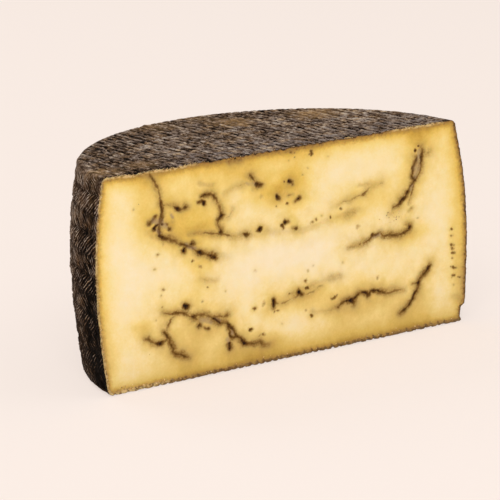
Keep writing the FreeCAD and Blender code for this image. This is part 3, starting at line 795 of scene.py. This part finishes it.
class Nodes:
    """Short calls that add and join a material's nodes."""

    def __init__(self, name):
        self.material = bpy.data.materials.new(name)
        self.material.use_nodes = True
        self.tree = self.material.node_tree
        self.shader = self.tree.nodes["Principled BSDF"]
        self.where = self.add("ShaderNodeTexCoord").outputs["Object"]

    def add(self, kind, **settings):
        node = self.tree.nodes.new(kind)
        for key, value in settings.items():
            setattr(node, key, value)
        return node

    def join(self, value, socket):
        if isinstance(value, bpy.types.NodeSocket):
            self.tree.links.new(value, socket)
        else:
            socket.default_value = value

    def field(self, name):
        return self.add("ShaderNodeAttribute", attribute_name=name).outputs["Fac"]

    def noise(self, size_mm, detail=3.0, rough=0.55, stretch=None):
        node = self.add("ShaderNodeTexNoise")
        where = self.where
        if stretch:
            mapping = self.add("ShaderNodeMapping")
            self.join(where, mapping.inputs["Vector"])
            mapping.inputs["Scale"].default_value = stretch
            where = mapping.outputs["Vector"]
        self.join(where, node.inputs["Vector"])
        node.inputs["Scale"].default_value = 1000.0 / size_mm
        node.inputs["Detail"].default_value = detail
        node.inputs["Roughness"].default_value = rough
        return node.outputs["Fac"]

    def math(self, operation, a, b=0.0, clamp=False):
        node = self.add("ShaderNodeMath", operation=operation, use_clamp=clamp)
        self.join(a, node.inputs[0])
        self.join(b, node.inputs[1])
        return node.outputs[0]

    def plus(self, a, b, clamp=False):
        return self.math("ADD", a, b, clamp)

    def minus(self, a, b):
        return self.math("SUBTRACT", a, b)

    def times(self, a, b):
        return self.math("MULTIPLY", a, b)

    def wave(self, name, share=1.0):
        """The height of a round wave that rises and falls once as the field grows by one."""
        return self.math("ABSOLUTE", self.math("SINE", self.times(self.field(name), share * math.pi)))

    def scale(self, value, low_in, high_in, low_out=0.0, high_out=1.0):
        node = self.add("ShaderNodeMapRange", clamp=True)
        for socket, given in zip(node.inputs, (value, low_in, high_in, low_out, high_out)):
            self.join(given, socket)
        return node.outputs["Result"]

    def ramp(self, value, stops):
        node = self.add("ShaderNodeValToRGB")
        self.join(value, node.inputs["Fac"])
        elements = node.color_ramp.elements
        while len(elements) < len(stops):
            elements.new(0.5)
        for element, (at, colour) in zip(elements, stops):
            element.position = at
            element.color = linear(*colour)
        return node.outputs["Color"]

    def mix(self, factor, a, b, kind="MIX"):
        node = self.add("ShaderNodeMix", data_type="RGBA", blend_type=kind)
        for number, given in ((0, factor), (6, a), (7, b)):
            self.join(given, node.inputs[number])
        return node.outputs[2]

    def bump(self, height, strength, distance_mm, over=None):
        node = self.add("ShaderNodeBump")
        node.inputs["Strength"].default_value = strength
        node.inputs["Distance"].default_value = distance_mm * MM
        self.join(height, node.inputs["Height"])
        if over is not None:
            self.join(over, node.inputs["Normal"])
        return node.outputs["Normal"]

    def finish(self, colour, roughness, normal, **sockets):
        self.join(colour, self.shader.inputs["Base Color"])
        self.join(roughness, self.shader.inputs["Roughness"])
        self.join(normal, self.shader.inputs["Normal"])
        for name, value in sockets.items():
            self.shader.inputs[name.replace("_", " ")].default_value = value
        return self.material


def paste_material():
    """Cream paste that turns golden towards the rind and the veins, with grey-brown veins."""
    n = Nodes("paste")
    grain = n.noise(1.1, 4.0, 0.6)
    yolk = n.plus(n.field("yolk"), n.scale(n.noise(6.0, 4.0, 0.6), 0.3, 0.7, -0.06, 0.06))
    yolk = n.plus(yolk, n.scale(grain, 0.3, 0.7, -0.04, 0.04), clamp=True)
    colour = n.ramp(yolk, [(0.0, (253, 234, 198)), (0.2, (252, 228, 170)), (0.4, (247, 216, 134)),
                           (0.6, (235, 196, 98)), (0.8, (207, 164, 68)), (1.0, (158, 118, 50))])
    lemon = n.times(n.field("halo"), n.scale(n.noise(5.0, 3.0, 0.55), 0.40, 0.64, 0.0, 0.75))
    colour = n.mix(lemon, colour, linear(222, 188, 86))
    # painted shade: greyer paste over the lower half of the cut face, then darker and bluer colour close to
    # the base
    painted_grey_shade = n.times(n.field("painted_grey_shade"), n.scale(yolk, 0.3, 0.7, 0.0, 0.3))
    colour = n.mix(painted_grey_shade, colour, linear(190, 170, 134))
    colour = n.mix(n.field("low"), colour, n.mix(1.0, colour, (0.75, 0.80, 0.95, 1.0), "MULTIPLY"))
    stain = n.times(n.field("stain"), n.scale(n.noise(0.9), 0.3, 0.7, 0.82, 1.18))
    stain_colour = n.ramp(stain, [(0.0, (210, 174, 102)), (0.2, (182, 148, 86)), (0.36, (148, 113, 56)),
                                  (0.58, (108, 74, 24)), (0.8, (72, 42, 8)), (1.0, (32, 15, 2))])
    colour = n.mix(n.scale(stain, 0.0, 0.38), colour, stain_colour)
    ash = n.times(n.scale(n.field("ash"), 0.05, 1.0, 0.0, 0.6), n.scale(stain, 0.3, 0.7, 1.0, 0.1))
    colour = n.mix(ash, colour, linear(162, 136, 108))
    rim = n.plus(n.field("rim"), n.scale(n.noise(1.8, 3.0, 0.65), 0.32, 0.68, -0.75, 0.75))
    rim_colour = n.ramp(n.scale(rim, 0.0, 1.8), [(0.0, (92, 64, 34)), (0.45, (146, 110, 60)),
                                                 (1.0, (182, 141, 72))])
    colour = n.mix(n.scale(rim, 3.2, 0.4), colour, rim_colour)
    fray = n.times(n.field("fray"), n.scale(n.noise(1.3), 0.36, 0.6, 0.0, 0.85))
    colour = n.mix(fray, colour, linear(232, 200, 138))
    normal = n.bump(n.noise(1.4, 2.0, 0.5, stretch=(0.06, 1.0, 1.0)), 0.25, 0.10)
    normal = n.bump(n.noise(0.55, 3.0, 0.6), 0.35, 0.06, normal)
    normal = n.bump(n.noise(2.6, 3.0, 0.6), 0.4, 0.12, normal)
    return n.finish(colour, n.scale(grain, 0.3, 0.7, 0.45, 0.6), normal, IOR=1.45,
                    Specular_IOR_Level=0.12, Subsurface_Weight=0.10, Subsurface_Scale=0.002)


def rind_material():
    """Dark matured rind: black in the plaited print, grey-brown and tan on what stands proud."""
    n = Nodes("rind")
    grain = n.noise(0.7, 4.0, 0.7)
    mottle = n.noise(2.6, 4.0, 0.65, stretch=(1.0, 0.55, 1.0))
    blotch = n.noise(11.0, 4.0, 0.6)
    face, crest, level, cut_gap = (n.field(name) for name in ("face", "crest", "level", "cut_gap"))
    on_side = n.minus(1.0, face)
    broken = n.scale(n.noise(3.4, 3.0, 0.6), 0.40, 0.60, 0.2, 1.0)
    pits = n.scale(n.noise(2.0, 3.0, 0.65), 0.54, 0.68)
    flecks = n.scale(n.noise(1.5, 3.0, 0.7, stretch=(1.0, 0.5, 1.0)), 0.54, 0.70)

    strand = n.wave("strand")
    fibre = n.scale(n.plus(strand, n.scale(grain, 0.3, 0.7, -0.3, 0.3)), 0.05, 0.6, 1.0, 0.0)
    side_tone = n.times(n.times(fibre, broken), n.scale(blotch, 0.35, 0.6, 0.3, 0.8))
    side_tone = n.plus(side_tone, n.scale(crest, 0.0, 0.8, 0.0, 0.40))
    side_tone = n.plus(side_tone, n.scale(grain, 0.3, 0.7, -0.16, 0.16))
    # painted shade: the side is darkened near the cut face, more towards the base
    painted_shade_near_cut = n.times(n.scale(cut_gap, 0.05, 0.6, 0.30, 0.0), n.scale(level, 0.0, 0.9, 1.0, 0.45))
    side_tone = n.minus(side_tone, painted_shade_near_cut)
    # painted shade and light: the side is darker towards the base and lighter towards the top
    side_tone = n.plus(side_tone, n.scale(level, 0.1, 0.8, -0.13, 0.12))
    side_tone = n.minus(side_tone, n.times(pits, 0.25))
    # painted sheen: the side is made lighter away from the cut face
    far = n.scale(cut_gap, 0.45, 1.0)
    side_tone = n.plus(n.scale(side_tone, 0.10, 0.86), n.times(far, 0.09))

    groove = n.plus(n.wave("rib"), n.scale(mottle, 0.3, 0.7, -0.45, 0.45))
    line = n.plus(n.wave("rib", 1.62), n.scale(grain, 0.3, 0.7, -0.25, 0.25))
    face_tone = n.plus(n.scale(crest, 0.1, 0.95, 0.12, 0.60), n.scale(mottle, 0.32, 0.68, -0.28, 0.30))
    face_tone = n.minus(face_tone, n.scale(groove, 0.05, 0.6, 0.20, 0.0))
    face_tone = n.minus(face_tone, n.times(n.scale(line, 0.1, 0.6, 1.0, 0.0),
                                           n.scale(broken, 0.2, 1.0, 0.05, 0.30)))
    edge = n.times(n.scale(cut_gap, 0.02, 0.12, 1.0, 0.0), n.scale(pits, 0.0, 1.0, 0.12, 0.4))
    shade = n.field("shade")
    face_tone = n.scale(n.minus(n.minus(face_tone, edge), shade), 0.04, 0.90)
    face_tone = n.minus(face_tone, n.times(pits, 0.30))
    face_tone = n.plus(face_tone, n.times(flecks, n.scale(shade, 0.0, 0.1, 0.34, 0.62)))
    face_tone = n.plus(face_tone, n.scale(grain, 0.28, 0.72, -0.2, 0.2))
    face_tone = n.plus(face_tone, n.scale(blotch, 0.3, 0.7, -0.14, 0.14))

    tone = n.plus(n.times(side_tone, on_side), n.times(face_tone, face), clamp=True)
    colour = n.ramp(tone, [(0.0, (7, 3, 0)), (0.18, (48, 31, 16)), (0.42, (100, 81, 67)),
                           (0.68, (142, 123, 109)), (1.0, (196, 180, 163))])
    tan = n.ramp(tone, [(0.0, (20, 11, 4)), (0.3, (84, 58, 34)), (0.6, (144, 111, 76)),
                        (1.0, (204, 172, 130))])
    # painted sheen: the side away from the cut face loses its brown and turns greyer
    painted_sheen_grey = n.times(n.times(far, on_side), 0.6)
    brown = n.times(n.scale(n.noise(6.0, 3.0, 0.6), 0.44, 0.66, 0.0, 0.8), n.minus(1.0, painted_sheen_grey))
    colour = n.mix(brown, colour, tan)
    ochre = n.times(n.field("ochre"), n.scale(n.noise(2.4), 0.35, 0.6, 0.2, 1.0))
    colour = n.mix(ochre, colour, n.mix(0.42, tan, linear(188, 147, 98)))
    bloom = n.times(n.field("bloom"), n.scale(n.noise(5.0), 0.42, 0.60, 0.0, 0.55))
    colour = n.mix(n.times(bloom, n.scale(tone, 0.15, 0.5)), colour, linear(116, 106, 104))
    normal = n.bump(n.minus(1.0, n.times(strand, on_side)), 0.5, 0.3)
    normal = n.bump(grain, 0.6, 0.14, normal)
    normal = n.bump(n.noise(1.7, 3.0, 0.6), 0.6, 0.25, normal)
    return n.finish(colour, n.scale(tone, 0.0, 1.0, 0.85, 0.62), normal, IOR=1.45, Specular_IOR_Level=0.05)


def crumb_material():
    """Pale crumbs, some of them browned by the rind."""
    n = Nodes("crumb")
    colour = n.ramp(n.field("tone"), [(0.0, (240, 212, 160)), (0.45, (226, 188, 122)),
                                      (0.7, (186, 142, 84)), (1.0, (112, 78, 46))])
    colour = n.mix(n.scale(n.noise(0.5), 0.3, 0.7, 0.0, 0.25), colour, linear(196, 150, 84))
    return n.finish(colour, 0.6, n.bump(n.noise(0.3), 0.4, 0.05), IOR=1.45, Specular_IOR_Level=0.4)


def floor_material():
    """A pale warm floor that keeps the shadow and meets the background's colour."""
    n = Nodes("floor")
    pale = linear(*BACKDROP)
    wash = n.mix(n.scale(n.noise(300.0), 0.3, 0.7, 0.0, 0.02), pale, linear(250, 236, 227))
    n.finish(wash, 0.9, n.bump(n.noise(5.0), 0.02, 0.05), Specular_IOR_Level=0.1)
    glow = n.add("ShaderNodeEmission")
    glow.inputs["Color"].default_value = pale
    path = n.add("ShaderNodeLightPath")
    seen = n.math("MAXIMUM", path.outputs["Is Camera Ray"], path.outputs["Is Glossy Ray"])
    mixed = n.add("ShaderNodeMixShader")
    for number, given in enumerate((n.times(seen, FLOOR_GLOW), n.shader.outputs[0], glow.outputs[0])):
        n.join(given, mixed.inputs[number])
    n.join(mixed.outputs[0], n.tree.nodes["Material Output"].inputs["Surface"])
    return n.material


# ---------------------------------------------------------------- set, light and camera
FLOOR_SIZE, FLOOR_GAP = 12.0, 0.0002        # metres: the floor lies just under the half
SKY_COLOUR, SKY_STRENGTH = (0.97, 0.985, 1.0, 1.0), 0.55


def make_floor():
    bpy.ops.mesh.primitive_plane_add(size=FLOOR_SIZE, location=(0, 0, cad_lo.z - FLOOR_GAP))
    floor = bpy.context.object
    floor.name = "floor"
    floor.data.materials.append(floor_material())


def make_world():
    world = bpy.data.worlds.new("studio")
    bpy.context.scene.world = world
    world.use_nodes = True
    tree = world.node_tree
    light = tree.nodes["Background"]
    light.inputs["Color"].default_value = SKY_COLOUR
    light.inputs["Strength"].default_value = SKY_STRENGTH
    seen = tree.nodes.new("ShaderNodeBackground")
    seen.inputs["Color"].default_value = linear(*BACKDROP)
    path = tree.nodes.new("ShaderNodeLightPath")
    mixed = tree.nodes.new("ShaderNodeMixShader")
    for number, given in enumerate((path.outputs["Is Camera Ray"], light.outputs[0], seen.outputs[0])):
        tree.links.new(given, mixed.inputs[number])
    tree.links.new(mixed.outputs[0], tree.nodes["World Output"].inputs["Surface"])


def make_lamp(name, at, size, power):
    """A square soft box that looks at the middle of the half."""
    data = bpy.data.lights.new(name, "AREA")
    data.size = size
    data.energy = power
    lamp = bpy.data.objects.new(name, data)
    bpy.context.scene.collection.objects.link(lamp)
    lamp.location = at
    lamp.rotation_mode = "QUATERNION"
    lamp.rotation_quaternion = ((cad_lo + cad_hi) / 2 - Vector(at)).to_track_quat("-Z", "Y")


def make_camera():
    """A long lens from the front left and above, turned a little about its own axis."""
    data = bpy.data.cameras.new("camera")
    data.sensor_width = 36.0
    data.lens = CAMERA_LENS
    camera = bpy.data.objects.new("camera", data)
    bpy.context.scene.collection.objects.link(camera)
    camera.location = CAMERA_PLACE
    level = (Vector(CAMERA_AIM) - Vector(CAMERA_PLACE)).to_track_quat("-Z", "Y").to_matrix()
    camera.rotation_mode = "QUATERNION"
    camera.rotation_quaternion = (level @ Matrix.Rotation(CAMERA_ROLL, 3, "Z")).to_quaternion()
    bpy.context.scene.camera = camera


paste = make_paste(paste_material())
rind = rind_material()
side_right = make_rind_side("rind_side_right", 0.0, math.pi / 2, rind)
side_left = make_rind_side("rind_side_left", math.pi / 2, math.pi, rind)
rind_top = make_rind_face("rind_top", 440, 220, TOP_FLAT, top_height, 1, rind)
rind_base = make_rind_face("rind_base", 260, 130, BASE_FLAT, base_height, -1, rind)
crumbs = make_crumbs(crumb_material())
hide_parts("cheese_half")

make_floor()
make_world()
make_lamp("key", (-0.9, -1.3, 1.3), 1.2, 16)
make_lamp("fill", (1.3, -1.0, 0.8), 1.2, 4)
make_lamp("back", (-0.4, 1.4, 1.4), 1.0, 7)
make_camera()
bpy.context.scene.view_settings.view_transform = "Standard"
